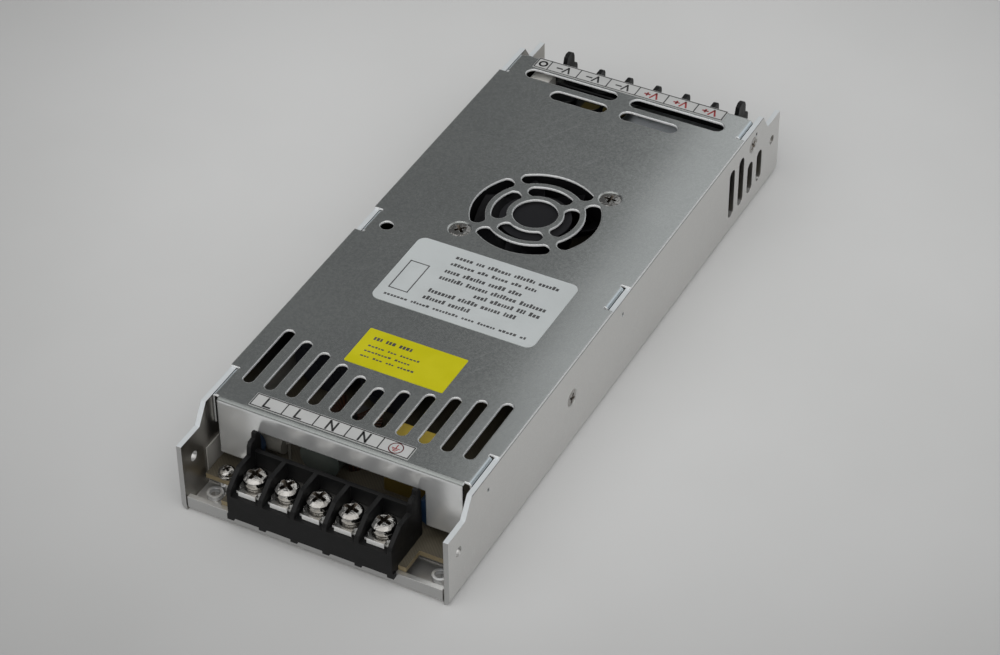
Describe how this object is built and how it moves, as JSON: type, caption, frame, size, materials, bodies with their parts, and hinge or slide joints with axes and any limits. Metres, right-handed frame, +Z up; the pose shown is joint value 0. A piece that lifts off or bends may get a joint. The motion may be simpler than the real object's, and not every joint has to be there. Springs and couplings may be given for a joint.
{
  "type": "enclosed power supply",
  "caption": "Slim switched-mode power supply in a folded metal case, with a fan under a ring grille, slotted vents and a screw terminal block at each end",
  "frame": {"origin": "on the underside, at the middle of the case", "axes": "+X across the case to the side with the wall vents, +Y from the input end to the output end, +Z up"},
  "size_m": [0.0816, 0.2152, 0.0291],
  "materials": {
    "chassis_metal": "satin, bright cut edges",
    "cover_metal": "satin with fine rolling grain",
    "screw_steel": "bright nickel plate",
    "contact_metal": "bright tin plate",
    "terminal_plastic": "satin black",
    "fan_plastic": "matte black",
    "board_laminate": "brown laminate",
    "insulation_film": "milky film",
    "bush_bronze": "oiled",
    "shaft_steel": "ground",
    "stator_wire": "enamelled wire on steel",
    "magnet_ferrite": "bonded ferrite",
    "trimmer_plastic": "gloss",
    "trimmer_brass": "bright",
    "fuse_ceramic": "white sleeve over a ceramic tube",
    "disc_green": "lacquer",
    "film_yellow": "gloss",
    "disc_blue": "lacquer",
    "ferrite": "sintered",
    "copper_wire": "enamelled wire",
    "package_epoxy": "moulded",
    "can_sleeve": "shrink sleeve",
    "heatsink_metal": "mill finish",
    "tape_yellow": "wound tape",
    "resistor_ceramic": "cement",
    "label_white": "printed film",
    "label_yellow": "printed film",
    "strip_white": "printed film"
  },
  "bodies": {
    "case": {"chassis": "chassis_metal", "insulation_sheet": "insulation_film", "main_board": "board_laminate", "board_screws": "screw_steel", "top_cover": "cover_metal", "cover_screws": "screw_steel", "fan_frame": "fan_plastic", "fan_bush": "bush_bronze", "fan_stator": "stator_wire", "fan_screws": "screw_steel", "ac_terminal_housing": "terminal_plastic", "ac_contacts": "contact_metal", "ac_clamp_plates": "contact_metal", "ac_terminal_screws": "screw_steel", "dc_terminal_housing": "terminal_plastic", "dc_contacts": "contact_metal", "dc_clamp_plates": "contact_metal", "dc_terminal_screws": "screw_steel", "trimmer_body": "trimmer_plastic", "line_fuse": "fuse_ceramic", "inrush_thermistor": "disc_green", "x_capacitor": "film_yellow", "y_capacitors": "disc_blue", "line_choke_core": "ferrite", "line_choke_coils": "copper_wire", "bridge_rectifier": "package_epoxy", "bulk_capacitors": "can_sleeve", "primary_heat_bar": "heatsink_metal", "heat_bar_screw": "screw_steel", "primary_transistors": "package_epoxy", "transformer_core": "ferrite", "transformer_coil": "tape_yellow", "output_heatsink": "heatsink_metal", "output_rectifiers": "package_epoxy", "output_choke": "copper_wire", "output_capacitors": "can_sleeve", "load_resistor": "resistor_ceramic", "rating_label": "label_white", "yellow_label": "label_yellow", "ac_marking_strip": "strip_white", "dc_marking_strip": "strip_white"},
    "fan": {"fan_rotor": "fan_plastic", "fan_magnet": "magnet_ferrite", "fan_shaft": "shaft_steel"},
    "trimmer": {"trimmer_screw": "trimmer_brass"}
  },
  "joints": [
    {"name": "fan_spin", "type": "hinge", "parent": "case", "child": "fan", "pos_m": [0.0019, 0.019, 0.0225], "axis": [0, 0, 1], "continuous": true},
    {"name": "trimmer_turn", "type": "hinge", "parent": "case", "child": "trimmer", "pos_m": [-0.03402, 0.0938, 0.013], "axis": [0, 0, 1], "range_deg": [-135, 135]}
  ]
}
